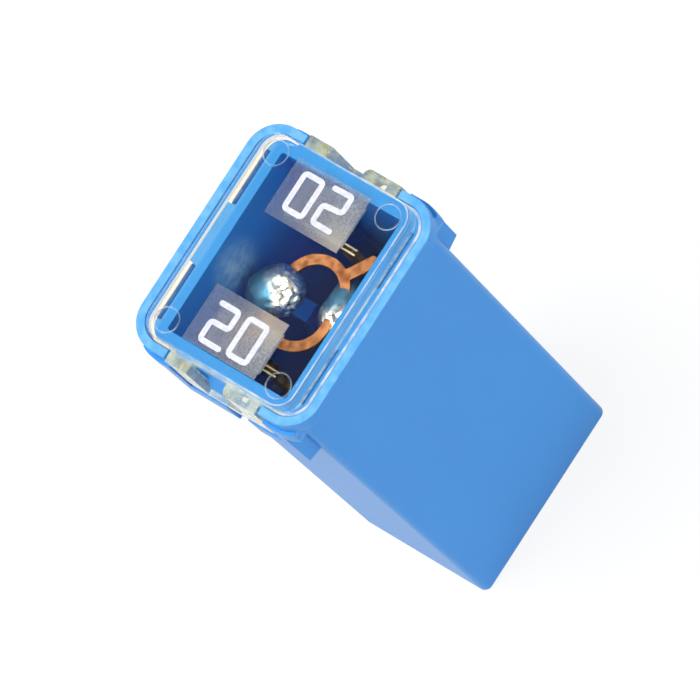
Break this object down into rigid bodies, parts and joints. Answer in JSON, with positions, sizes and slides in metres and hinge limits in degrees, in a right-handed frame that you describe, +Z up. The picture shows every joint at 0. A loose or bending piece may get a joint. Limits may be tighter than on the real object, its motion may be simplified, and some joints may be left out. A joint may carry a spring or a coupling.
{
  "type": "female cartridge fuse",
  "caption": "Automotive cartridge fuse: tapered blue box with rim, clear latched window over a ring-shaped fusible link, and blade sockets underneath.",
  "frame": {"origin": "middle of the flat bottom face", "axes": "+Z up from the blade sockets to the window, X along the long side of the window, the plain broad face towards -Y"},
  "size_m": [0.015, 0.0126, 0.036],
  "materials": {
    "blue_plastic": "satin moulded",
    "clear_plastic": "clear, faintly yellow, gloss",
    "copper": "stamped, satin",
    "tin": "cast, lumpy, bright",
    "terminal_brass": "stamped, satin"
  },
  "bodies": {
    "root": {"housing": "blue_plastic", "clear_cover": "clear_plastic", "fuse_link": "copper", "rear_tin_pellet": "tin", "front_tin_pellet": "tin", "left_terminal": "terminal_brass", "right_terminal": "terminal_brass"}
  },
  "joints": []
}
